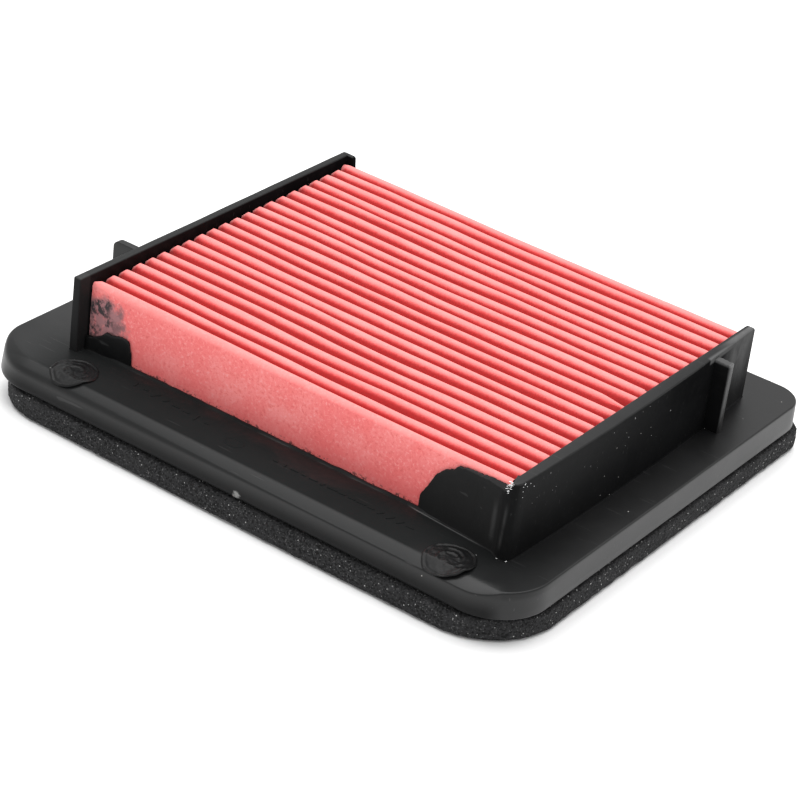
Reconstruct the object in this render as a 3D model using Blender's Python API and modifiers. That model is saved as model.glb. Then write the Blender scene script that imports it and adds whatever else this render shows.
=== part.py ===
"""Panel air filter for a motorcycle airbox: pleated paper in an overmoulded plastic frame.

Frame: +Z up, origin on the ground under the centre of the flange.
+X runs along the pleats, from the left end wall to the right end wall.
-Y is the side on which the first paper panel stands free above the flange.
All sizes are in metres.
"""
import math

import bmesh
import bpy

# ---- Driving dimensions ------------------------------------------------------------------

PART_GAP = 0.0003            # clearance kept between pieces that touch

# pleated paper
PACK_LENGTH = 0.1600         # X, between the end walls
TIP_COUNT = 22
PLEAT_PITCH = 0.00605
PLEAT_DEPTH = 0.0300
PAPER_THICKNESS = 0.0008
TIP_OUTER_RADIUS = 0.0017
VALLEY_OUTER_RADIUS = 0.0014
PAPER_FOOT = 0.0025          # height of the pleats' lower folds above the skirt's edge

# flange, the plate with a down-turned skirt that closes the airbox
FLANGE_PLATE = 0.0025        # plate thickness
SKIRT_WALL = 0.0025
SKIRT_DROP = 0.0093          # from the flange's upper face to the skirt's lower edge
RIM_WALL = 0.0025            # rim under the plate, round the foot of the paper
FRONT_CORNER_RADIUS = 0.0180
BACK_CORNER_RADIUS = 0.0100
LEFT_EXTRA = 0.00765         # width that the flange has beyond what the gasket needs
RIGHT_EXTRA = 0.00145
FRONT_EXTRA = 0.00665
CHAMFER_DEPTH = 0.0042       # front edge, measured back along Y
CHAMFER_DROP = 0.0022        # front edge, measured down
CHAMFER_END = 0.0120         # distance of the chamfer's ends from the flange's ends
EDGE_BREAK = 0.0006          # small bevel on the flange's other edges

# end walls, which hold the ends of the pleats
WALL_ABOVE_TIPS = 0.0024
LEFT_WALL = 0.0028           # thickness
RIGHT_WALL_FRONT = 0.0032    # thickness at the front end
RIGHT_WALL_MIDDLE = 0.0044   # thickness in the middle, where the outer face bows out
RIGHT_WALL_BACK = 0.0025     # thickness at the back end
WALL_FRONT_OVERHANG = 0.0054  # how far the walls stand out in front of the first panel
WALL_BACK_OVERHANG = 0.0003  # how far they stand out behind the last panel
WALL_EDGE = 0.0005           # rounding of their edges

# gussets on the outer faces of the end walls
GUSSET_THICKNESS = 0.0026
LEFT_GUSSET_REACH = 0.0080
LEFT_GUSSET_FROM_FRONT = 0.0291   # from the wall's front end
RIGHT_GUSSET_REACH = 0.0052
RIGHT_GUSSET_FROM_BACK = 0.0260   # from the wall's back end
RIGHT_GUSSET_STEP = 0.0020   # its top stands this far below the wall's top
GUSSET_CORNER = 0.0020

# flash, plastic that crept over the paper's outer panels at the corners
FLASH_THICKNESS = 0.0018
LARGE_FLASH_LENGTH = 0.0305
LARGE_FLASH_BELOW_TIPS = 0.0029
SMALL_FLASH_LENGTH = 0.0175
SMALL_FLASH_HEIGHT = 0.0092
RETURN_LIP_LENGTH = 0.0025   # lip that turns round the last pleat at the left wall

# gate pads, the frozen puddles at the moulding's injection points
GATE_PAD_RADIUS = 0.0075
GATE_PAD_THICKNESS = 0.0010
GATE_PAD_FROM_WALL = 0.0090  # inboard from the end walls' inner faces to the pads' centres
GATE_PAD_INSET_Y = 0.0084    # from the flange's front edge to the pad's centre

# foam gasket and the adhesive film above it
GASKET_EXPOSED = 0.0087      # height of the skirt's lower edge above the ground
GASKET_WIDTH = 0.0100        # inside the skirt
GASKET_PROUD = 0.0010        # how far it bulges out past the skirt
GASKET_FRONT_RADIUS = 0.0240
GASKET_BACK_RADIUS = 0.0110
GASKET_TO_SKIRT = 0.0005
GASKET_TO_RIM = 0.00055
GASKET_EDGE = 0.0016         # rounding of its edges
FILM_THICKNESS = 0.0004
FILM_MARGIN = 0.0010         # the film is narrower than the foam by this on each side

# hot-melt spacer beads across the pleats on the clean side
BEAD_COUNT = 3
BEAD_WIDTH = 0.0030
BEAD_HEIGHT = 0.0010
BEAD_FROM_WALLS = 0.0400     # from the end walls to the outer beads
BEAD_END_MARGIN = 0.0035     # from the outer panels to the beads' ends

# ---- Places worked out from them ---------------------------------------------------------

PACK_WIDTH = (TIP_COUNT - 1) * PLEAT_PITCH + 2 * TIP_OUTER_RADIUS
GASKET_INNER_INSET = SKIRT_WALL + GASKET_TO_SKIRT + GASKET_WIDTH
CHANNEL_MARGIN = GASKET_INNER_INSET + GASKET_TO_RIM + RIM_WALL + PART_GAP
FLANGE_LENGTH = LEFT_EXTRA + CHANNEL_MARGIN + PACK_LENGTH + CHANNEL_MARGIN + RIGHT_EXTRA
FLANGE_WIDTH = FRONT_EXTRA + CHANNEL_MARGIN + PACK_WIDTH + CHANNEL_MARGIN

SKIRT_BOTTOM = GASKET_EXPOSED
FLANGE_TOP = SKIRT_BOTTOM + SKIRT_DROP
PLATE_UNDERSIDE = FLANGE_TOP - FLANGE_PLATE
PAPER_BOTTOM = SKIRT_BOTTOM + PAPER_FOOT
PAPER_TOP = PAPER_BOTTOM + PLEAT_DEPTH
WALL_TOP = PAPER_TOP + WALL_ABOVE_TIPS
WALL_FOOT = FLANGE_TOP + PART_GAP

PACK_OFFSET_X = (LEFT_EXTRA - RIGHT_EXTRA) / 2
LEFT_INNER_X = PACK_OFFSET_X - PACK_LENGTH / 2
RIGHT_INNER_X = PACK_OFFSET_X + PACK_LENGTH / 2
FRONT_PANEL_Y = -FLANGE_WIDTH / 2 + FRONT_EXTRA + CHANNEL_MARGIN
BACK_PANEL_Y = FRONT_PANEL_Y + PACK_WIDTH
PACK_MIDDLE_Y = (FRONT_PANEL_Y + BACK_PANEL_Y) / 2
FIRST_TIP_Y = FRONT_PANEL_Y + TIP_OUTER_RADIUS
WALL_FRONT_Y = FRONT_PANEL_Y - WALL_FRONT_OVERHANG
WALL_BACK_Y = BACK_PANEL_Y + WALL_BACK_OVERHANG
LEFT_GUSSET_Y = WALL_FRONT_Y + LEFT_GUSSET_FROM_FRONT
RIGHT_GUSSET_Y = WALL_BACK_Y - RIGHT_GUSSET_FROM_BACK
LARGE_FLASH_HEIGHT = PAPER_TOP - LARGE_FLASH_BELOW_TIPS - WALL_FOOT

FILM_TOP = PLATE_UNDERSIDE - PART_GAP
GASKET_TOP = FILM_TOP - FILM_THICKNESS - PART_GAP
GASKET_SHOULDER = SKIRT_BOTTOM - PART_GAP
CUT_MARGIN = 0.0010          # cutters run this far past what they cut
SMALLEST_CORNER = 0.0020     # corner radius left where an outline moves far inwards


# ---- Scene helpers -----------------------------------------------------------------------

def clear_scene():
    for item in list(bpy.data.objects):
        bpy.data.objects.remove(item, do_unlink=True)


def make_collection(name):
    collection = bpy.data.collections.new(name)
    bpy.context.scene.collection.children.link(collection)
    return collection


def make_material(name, colour, roughness):
    material = bpy.data.materials.new(name)
    material.use_nodes = True
    shader = material.node_tree.nodes["Principled BSDF"]
    shader.inputs["Base Color"].default_value = (*colour, 1.0)
    shader.inputs["Roughness"].default_value = roughness
    shader.inputs["Metallic"].default_value = 0.0
    return material


def link_object(name, mesh, collection, material=None):
    item = bpy.data.objects.new(name, mesh)
    collection.objects.link(item)
    if material:
        mesh.materials.append(material)
    return item


def make_cutter(item):
    item.hide_render = True
    item.display_type = "WIRE"
    return item


def add_boolean(target, cutter, operation):
    modifier = target.modifiers.new(operation.title(), "BOOLEAN")
    modifier.operation = operation
    modifier.object = cutter


def add_bevel(target, width, segments, angle=50):
    modifier = target.modifiers.new("Bevel", "BEVEL")
    modifier.width = width
    modifier.segments = segments
    modifier.limit_method = "ANGLE"
    modifier.angle_limit = math.radians(angle)


# ---- Shape helpers -----------------------------------------------------------------------

def arc(centre, radius, start, end, steps):
    """Points on an arc, angles in degrees, ends included."""
    points = []
    for step in range(steps + 1):
        angle = math.radians(start + (end - start) * step / steps)
        points.append((centre[0] + radius * math.cos(angle), centre[1] + radius * math.sin(angle)))
    return points


def rounded_outline(x_low, x_high, y_low, y_high, front_radius, back_radius, steps=6):
    """Counter-clockwise rounded rectangle with its own radii at the front and back corners."""
    front, back = front_radius, back_radius
    return (arc((x_high - front, y_low + front), front, -90, 0, steps)
            + arc((x_high - back, y_high - back), back, 0, 90, steps)
            + arc((x_low + back, y_high - back), back, 90, 180, steps)
            + arc((x_low + front, y_low + front), front, 180, 270, steps))


def flange_outline(inset, front_radius=None, back_radius=None):
    """The flange's outline moved inwards; a negative inset moves it outwards."""
    half_length = FLANGE_LENGTH / 2 - inset
    half_width = FLANGE_WIDTH / 2 - inset
    front = max((front_radius or FRONT_CORNER_RADIUS) - inset, SMALLEST_CORNER)
    back = max((back_radius or BACK_CORNER_RADIUS) - inset, SMALLEST_CORNER)
    return rounded_outline(-half_length, half_length, -half_width, half_width, front, back)


def extrude_outlines(name, outlines, low, high, collection, material=None):
    """Closed plate from flat outlines in XY; inner outlines become holes."""
    curve = bpy.data.curves.new(name + "_outline", "CURVE")
    curve.dimensions = "2D"
    curve.fill_mode = "BOTH"
    curve.extrude = (high - low) / 2
    for outline in outlines:
        spline = curve.splines.new("POLY")
        spline.points.add(len(outline) - 1)
        for point, (x, y) in zip(spline.points, outline):
            point.co = (x, y, 0, 1)
        spline.use_cyclic_u = True
    guide = bpy.data.objects.new(name + "_curve", curve)
    collection.objects.link(guide)
    guide.location.z = (low + high) / 2
    bpy.context.view_layer.update()
    evaluated = guide.evaluated_get(bpy.context.evaluated_depsgraph_get())
    mesh = bpy.data.meshes.new_from_object(evaluated)
    place = guide.matrix_world.copy()
    bpy.data.objects.remove(guide)
    weld(mesh)
    item = link_object(name, mesh, collection, material)
    item.matrix_world = place
    return item


def weld(mesh):
    work = bmesh.new()
    work.from_mesh(mesh)
    bmesh.ops.remove_doubles(work, verts=work.verts, dist=1e-6)
    bmesh.ops.recalc_face_normals(work, faces=work.faces)
    work.to_mesh(mesh)
    work.free()


def stand_upright(plate, y):
    """Turn a plate drawn in XY so that its outline stands in the XZ plane, its middle at y."""
    plate.rotation_euler = (math.radians(90), 0, 0)
    plate.location = (0, y, 0)


def make_box(name, low, high, collection, material=None):
    work = bmesh.new()
    bmesh.ops.create_cube(work, size=1.0)
    sizes = [b - a for a, b in zip(low, high)]
    bmesh.ops.scale(work, vec=sizes, verts=work.verts)
    mesh = bpy.data.meshes.new(name)
    work.to_mesh(mesh)
    work.free()
    item = link_object(name, mesh, collection, material)
    item.location = [(a + b) / 2 for a, b in zip(low, high)]
    return item


# ---- The frame moulding ------------------------------------------------------------------

def window_box(margin):
    """X and Y limits of the flange's window, widened by margin."""
    return (LEFT_INNER_X - margin, RIGHT_INNER_X + margin,
            FRONT_PANEL_Y - PART_GAP - margin, BACK_PANEL_Y + PART_GAP + margin)


def build_flange(parts, cutters, plastic):
    flange = extrude_outlines("flange_frame", [flange_outline(0)], SKIRT_BOTTOM, FLANGE_TOP,
                              parts, plastic)
    add_bevel(flange, EDGE_BREAK, 1)
    x_low, x_high, y_low, y_high = window_box(0)
    window = make_box("window_cutter", (x_low, y_low, SKIRT_BOTTOM - CUT_MARGIN),
                      (x_high, y_high, FLANGE_TOP + CUT_MARGIN), cutters)
    add_boolean(flange, make_cutter(window), "DIFFERENCE")
    rim = rounded_outline(*window_box(RIM_WALL), RIM_WALL, RIM_WALL, steps=2)
    channel = extrude_outlines("channel_cutter", [flange_outline(SKIRT_WALL), rim],
                               SKIRT_BOTTOM - CUT_MARGIN, PLATE_UNDERSIDE, cutters)
    add_boolean(flange, make_cutter(channel), "DIFFERENCE")
    add_boolean(flange, make_cutter(front_chamfer(cutters)), "DIFFERENCE")
    return flange


def front_chamfer(cutters):
    """Wedge that takes off the flange's front upper edge between its corners."""
    slope = math.atan2(CHAMFER_DROP, CHAMFER_DEPTH)
    length = FLANGE_LENGTH - 2 * CHAMFER_END
    depth = 2 * math.hypot(CHAMFER_DEPTH, CHAMFER_DROP)
    height = 2 * CHAMFER_DROP
    wedge = make_box("chamfer_cutter", (-length / 2, -depth / 2, 0), (length / 2, depth / 2, height),
                     cutters)
    middle_y = -FLANGE_WIDTH / 2 + CHAMFER_DEPTH / 2
    middle_z = FLANGE_TOP - CHAMFER_DROP / 2
    wedge.rotation_euler = (slope, 0, 0)
    wedge.location = (0, middle_y - height / 2 * math.sin(slope), middle_z + height / 2 * math.cos(slope))
    return wedge


def right_wall_thickness(y):
    """Thickness of the bowed right wall, a parabola through its front, middle and back."""
    along = (y - WALL_FRONT_Y) / (WALL_BACK_Y - WALL_FRONT_Y)
    front = RIGHT_WALL_FRONT * (1 - along) * (1 - 2 * along)
    middle = RIGHT_WALL_MIDDLE * 4 * along * (1 - along)
    back = RIGHT_WALL_BACK * along * (2 * along - 1)
    return front + middle + back


def build_end_walls(parts, plastic):
    left = make_box("end_wall_left", (LEFT_INNER_X - LEFT_WALL, WALL_FRONT_Y, WALL_FOOT),
                    (LEFT_INNER_X, WALL_BACK_Y, WALL_TOP), parts, plastic)
    add_bevel(left, WALL_EDGE, 2)
    steps = 12
    stations = [WALL_FRONT_Y + (WALL_BACK_Y - WALL_FRONT_Y) * step / steps for step in range(steps + 1)]
    outline = [(RIGHT_INNER_X + right_wall_thickness(y), y) for y in stations]
    outline += [(RIGHT_INNER_X, WALL_BACK_Y), (RIGHT_INNER_X, WALL_FRONT_Y)]
    right = extrude_outlines("end_wall_right", [outline], WALL_FOOT, WALL_TOP, parts, plastic)
    add_bevel(right, WALL_EDGE, 2)


def build_gusset(name, root_x, reach, y, top, parts, plastic):
    """Upright plate on a wall's outer face; reach is negative on the left side."""
    side = math.copysign(1, reach)
    tip_x = root_x + reach
    corner = arc((tip_x - side * GUSSET_CORNER, top - GUSSET_CORNER), GUSSET_CORNER,
                 90 - 90 * side, 90, 5)
    outline = [(root_x, WALL_FOOT), (tip_x, WALL_FOOT)] + corner + [(root_x, top)]
    plate = extrude_outlines(name, [outline], 0, GUSSET_THICKNESS, parts, plastic)
    stand_upright(plate, y)


def build_gussets(parts, plastic):
    build_gusset("gusset_left", LEFT_INNER_X - LEFT_WALL - PART_GAP, -LEFT_GUSSET_REACH,
                 LEFT_GUSSET_Y, WALL_TOP, parts, plastic)
    nearest = max(right_wall_thickness(RIGHT_GUSSET_Y + shift * GUSSET_THICKNESS / 2)
                  for shift in (-1, 0, 1))
    build_gusset("gusset_right", RIGHT_INNER_X + nearest + PART_GAP, RIGHT_GUSSET_REACH,
                 RIGHT_GUSSET_Y, WALL_TOP - RIGHT_GUSSET_STEP, parts, plastic)


def flash_outline(length, height, lip=0.0):
    """Ragged patch standing on the flange; x runs from the wall, z from the flange."""
    lip_height = WALL_TOP - WALL_FOOT - PART_GAP
    wall_edge = [(0, 0), (0, lip_height), (lip, lip_height)] if lip else [(0, 0)]
    return wall_edge + [(lip, 0.93 * height), (0.35 * length, 0.99 * height), (0.60 * length, height),
                        (0.76 * length, 0.86 * height), (0.88 * length, 0.68 * height),
                        (0.99 * length, 0.36 * height), (0.97 * length, 0.16 * height), (0.93 * length, 0)]


def build_flash(name, wall_x, side, panel_y, outline, parts, plastic):
    """side is the direction of the patch from its wall, panel_y the face that it lies on."""
    points = [(wall_x + side * (PART_GAP + x), WALL_FOOT + z) for x, z in outline]
    patch = extrude_outlines(name, [points], 0, FLASH_THICKNESS, parts, plastic)
    outward = -1 if panel_y < PACK_MIDDLE_Y else 1
    stand_upright(patch, panel_y + outward * (PART_GAP + FLASH_THICKNESS / 2))


def build_flash_patches(parts, plastic):
    large = flash_outline(LARGE_FLASH_LENGTH, LARGE_FLASH_HEIGHT)
    hooked = flash_outline(LARGE_FLASH_LENGTH, LARGE_FLASH_HEIGHT, RETURN_LIP_LENGTH)
    small = flash_outline(SMALL_FLASH_LENGTH, SMALL_FLASH_HEIGHT)
    build_flash("flash_front_right", RIGHT_INNER_X, -1, FRONT_PANEL_Y, large, parts, plastic)
    build_flash("flash_front_left", LEFT_INNER_X, 1, FRONT_PANEL_Y, small, parts, plastic)
    build_flash("flash_back_left", LEFT_INNER_X, 1, BACK_PANEL_Y, hooked, parts, plastic)
    build_flash("flash_back_right", RIGHT_INNER_X, -1, BACK_PANEL_Y, small, parts, plastic)


def build_gate_pads(parts, plastic):
    for name, wall_x, side in (("gate_pad_left", LEFT_INNER_X, -1), ("gate_pad_right", RIGHT_INNER_X, 1)):
        points = []
        for step in range(24):
            angle = math.tau * step / 24
            radius = GATE_PAD_RADIUS * (0.95 + 0.05 * math.sin(3 * angle + side))
            points.append((radius * math.cos(angle), radius * math.sin(angle)))
        pad = extrude_outlines(name, [points], 0, GATE_PAD_THICKNESS, parts, plastic)
        pad.location.x = wall_x - side * GATE_PAD_FROM_WALL
        pad.location.y = -FLANGE_WIDTH / 2 + GATE_PAD_INSET_Y
        pad.location.z += FLANGE_TOP + PART_GAP


# ---- Paper, foam, film and glue ----------------------------------------------------------

def fold_path():
    """The paper's middle line in the YZ plane, from the first panel's foot to the last one's."""
    tip_radius = TIP_OUTER_RADIUS - PAPER_THICKNESS / 2
    valley_radius = VALLEY_OUTER_RADIUS - PAPER_THICKNESS / 2
    tip_z = PAPER_TOP - TIP_OUTER_RADIUS
    valley_z = PAPER_BOTTOM + VALLEY_OUTER_RADIUS
    path = [(FRONT_PANEL_Y + PAPER_THICKNESS / 2, PAPER_BOTTOM)]
    for tip in range(TIP_COUNT):
        y = FIRST_TIP_Y + tip * PLEAT_PITCH
        path += arc((y, tip_z), tip_radius, 180, 0, 5)
        if tip < TIP_COUNT - 1:
            path += arc((y + PLEAT_PITCH / 2, valley_z), valley_radius, 180, 360, 4)
    path.append((BACK_PANEL_Y - PAPER_THICKNESS / 2, PAPER_BOTTOM))
    return path


def build_paper(parts, paper):
    half = PACK_LENGTH / 2 - PART_GAP
    work = bmesh.new()
    left = [work.verts.new((-half, y, z)) for y, z in fold_path()]
    edges = [work.edges.new(pair) for pair in zip(left, left[1:])]
    swept = bmesh.ops.extrude_edge_only(work, edges=edges)
    moved = [item for item in swept["geom"] if isinstance(item, bmesh.types.BMVert)]
    bmesh.ops.translate(work, verts=moved, vec=(2 * half, 0, 0))
    mesh = bpy.data.meshes.new("pleated_paper")
    work.to_mesh(mesh)
    work.free()
    sheet = link_object("pleated_paper", mesh, parts, paper)
    sheet.location.x = PACK_OFFSET_X
    shell = sheet.modifiers.new("Solidify", "SOLIDIFY")
    shell.thickness = PAPER_THICKNESS
    shell.offset = 0
    shell.use_even_offset = True


def build_gasket(parts, cutters, foam, film):
    inner = flange_outline(GASKET_INNER_INSET)
    sole = extrude_outlines("foam_gasket",
                            [flange_outline(-GASKET_PROUD, GASKET_FRONT_RADIUS, GASKET_BACK_RADIUS), inner],
                            0, GASKET_SHOULDER, parts, foam)
    add_bevel(sole, GASKET_EDGE, 2)
    tongue = extrude_outlines("gasket_tongue",
                              [flange_outline(SKIRT_WALL + GASKET_TO_SKIRT),
                               flange_outline(GASKET_INNER_INSET - CUT_MARGIN / 2)],
                              GASKET_SHOULDER / 2, GASKET_TOP, cutters)
    add_boolean(sole, make_cutter(tongue), "UNION")
    extrude_outlines("gasket_adhesive",
                     [flange_outline(SKIRT_WALL + GASKET_TO_SKIRT + FILM_MARGIN),
                      flange_outline(GASKET_INNER_INSET - FILM_MARGIN)],
                     FILM_TOP - FILM_THICKNESS, FILM_TOP, parts, film)


def build_beads(parts, glue):
    top = PAPER_BOTTOM - PART_GAP
    first = LEFT_INNER_X + BEAD_FROM_WALLS
    spacing = (RIGHT_INNER_X - BEAD_FROM_WALLS - first) / (BEAD_COUNT - 1)
    for index in range(BEAD_COUNT):
        x = first + index * spacing
        bead = make_box(f"spacer_bead_{index + 1}",
                        (x - BEAD_WIDTH / 2, FRONT_PANEL_Y + BEAD_END_MARGIN, top - BEAD_HEIGHT),
                        (x + BEAD_WIDTH / 2, BACK_PANEL_Y - BEAD_END_MARGIN, top), parts, glue)
        add_bevel(bead, BEAD_HEIGHT * 0.4, 2)


def main():
    clear_scene()
    parts = make_collection("panel_air_filter")
    cutters = make_collection("cutters")
    plastic = make_material("black_plastic", (0.030, 0.031, 0.033), 0.45)
    paper = make_material("red_filter_paper", (0.86, 0.17, 0.16), 0.85)
    foam = make_material("black_foam", (0.022, 0.022, 0.023), 0.95)
    film = make_material("adhesive_film", (0.55, 0.52, 0.44), 0.60)
    glue = make_material("hot_melt_glue", (0.80, 0.72, 0.50), 0.40)
    build_flange(parts, cutters, plastic)
    build_end_walls(parts, plastic)
    build_gussets(parts, plastic)
    build_flash_patches(parts, plastic)
    build_gate_pads(parts, plastic)
    build_paper(parts, paper)
    build_gasket(parts, cutters, foam, film)
    build_beads(parts, glue)


main()
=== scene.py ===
import math
import random

import bmesh
import bpy
import numpy as np
from mathutils import Matrix, Vector, noise


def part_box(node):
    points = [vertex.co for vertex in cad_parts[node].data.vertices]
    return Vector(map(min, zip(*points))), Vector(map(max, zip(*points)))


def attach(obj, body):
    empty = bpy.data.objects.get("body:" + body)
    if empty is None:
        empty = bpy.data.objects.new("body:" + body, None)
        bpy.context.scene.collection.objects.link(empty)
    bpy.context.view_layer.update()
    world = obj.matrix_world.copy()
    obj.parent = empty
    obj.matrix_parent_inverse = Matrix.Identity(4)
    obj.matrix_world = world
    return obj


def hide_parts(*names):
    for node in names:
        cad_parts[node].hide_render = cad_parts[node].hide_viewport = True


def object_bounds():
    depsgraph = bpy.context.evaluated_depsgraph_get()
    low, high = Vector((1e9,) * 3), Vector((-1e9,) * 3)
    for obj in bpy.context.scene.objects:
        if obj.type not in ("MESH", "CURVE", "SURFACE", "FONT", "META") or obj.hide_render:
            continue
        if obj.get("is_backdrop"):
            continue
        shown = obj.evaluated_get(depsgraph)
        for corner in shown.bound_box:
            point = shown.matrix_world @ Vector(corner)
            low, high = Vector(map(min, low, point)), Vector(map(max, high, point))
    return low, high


# Panel air filter. Sizes in the dictionaries and materials are in millimetres, meshes are in metres.
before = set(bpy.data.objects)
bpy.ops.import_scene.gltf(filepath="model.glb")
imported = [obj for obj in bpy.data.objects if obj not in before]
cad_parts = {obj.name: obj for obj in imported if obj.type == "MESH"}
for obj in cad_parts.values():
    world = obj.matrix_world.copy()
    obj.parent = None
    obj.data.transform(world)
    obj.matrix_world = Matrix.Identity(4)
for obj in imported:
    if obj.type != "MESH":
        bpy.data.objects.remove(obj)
cadBounds = [list(corner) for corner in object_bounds()]
scene = bpy.context.scene
mm = 0.001


def metres(point):
    return tuple(value * mm for value in point)


def boxMm(node):
    return [[value / mm for value in corner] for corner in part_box(node)]


flangeLow, flangeHigh = boxMm("flange_frame")
paperLow, paperHigh = boxMm("pleated_paper")
leftLow, leftHigh = boxMm("end_wall_left")
rightLow, rightHigh = boxMm("end_wall_right")
gussetTip = boxMm("gusset_right")[1][0]
plateTop = flangeHigh[2]
skirtFoot = flangeLow[2]
wallTop = leftHigh[2]
panelFront, panelBack = paperLow[1], paperHigh[1]
leftInner, rightInner = leftHigh[0], rightLow[0]
windowFront, windowBack = panelFront - 0.3, panelBack + 0.3


# meshes and pieces

def wave(x, y, z, scale, seed=0.0):
    return noise.noise(Vector((x * scale + seed, y * scale - seed, z * scale + 0.37 * seed)))


def smoothStep(value, low, high):
    t = min(max((value - low) / (high - low), 0.0), 1.0)
    return t * t * (3 - 2 * t)


def mix(a, b, t):
    return a + (b - a) * t


def turns(*degrees):
    # sine and cosine of each angle along an arc
    return [(math.sin(math.radians(d)), math.cos(math.radians(d))) for d in degrees]


def roundDrop(radius, left):
    # how far a rounded end has fallen with this much of it still to go
    left = min(left, radius)
    return radius - math.sqrt(max(radius ** 2 - (radius - left) ** 2, 0.0))


def readCurve(curve, t):
    for (a, va), (b, vb) in zip(curve, curve[1:]):
        if t <= b:
            return mix(va, vb, (t - a) / (b - a))
    return curve[-1][1]


def addObject(name, data):
    piece = bpy.data.objects.new(name, data)
    scene.collection.objects.link(piece)
    return piece


def meshPiece(name, points, faces, material, sharp, turnOut=True):
    mesh = bpy.data.meshes.new(name)
    mesh.from_pydata([metres(point) for point in points], [], faces)
    work = bmesh.new()
    work.from_mesh(mesh)
    bmesh.ops.remove_doubles(work, verts=work.verts, dist=2e-6)
    bmesh.ops.dissolve_degenerate(work, edges=work.edges, dist=1e-7)
    bmesh.ops.recalc_face_normals(work, faces=work.faces)
    if turnOut and work.calc_volume(signed=True) < 0:
        bmesh.ops.reverse_faces(work, faces=work.faces)
    work.to_mesh(mesh)
    work.free()
    mesh.shade_smooth()
    mesh.set_sharp_from_angle(angle=math.radians(sharp))
    mesh.materials.append(material)
    return addObject(name, mesh)


def loft(rings, closedPath=True, capped=False):
    # points and faces of a skin over closed rings
    count, size = len(rings), len(rings[0])
    faces = []
    for i in range(count if closedPath else count - 1):
        a, b = i * size, ((i + 1) % count) * size
        for j in range(size):
            k = (j + 1) % size
            faces.append((a + j, a + k, b + k, b + j))
    if capped:
        faces += [tuple(range(size)), tuple(range((count - 1) * size, count * size))]
    return [point for ring in rings for point in ring], faces


def joined(*skins):
    # several lofts as one set of points and faces
    points, faces = [], []
    for newPoints, newFaces in skins:
        faces += [tuple(len(points) + v for v in face) for face in newFaces]
        points += newPoints
    return points, faces


def bake(piece):
    # turns every modifier into plain mesh
    depsgraph = bpy.context.evaluated_depsgraph_get()
    mesh = bpy.data.meshes.new_from_object(piece.evaluated_get(depsgraph), depsgraph=depsgraph)
    piece.modifiers.clear()
    piece.data = mesh
    return piece


def growPiece(name, mesh, n, values):
    # runs a mesh through a geometry tree and bakes what comes out
    piece = addObject(name, mesh)
    modifier = piece.modifiers.new(n.tree.name, "NODES")
    modifier.node_group = n.tree
    sockets = {item.name: item.identifier for item in n.tree.interface.items_tree if item.in_out == "INPUT"}
    for key, value in values.items():
        modifier[sockets[key]] = value
    return bake(piece)


# node trees

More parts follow.
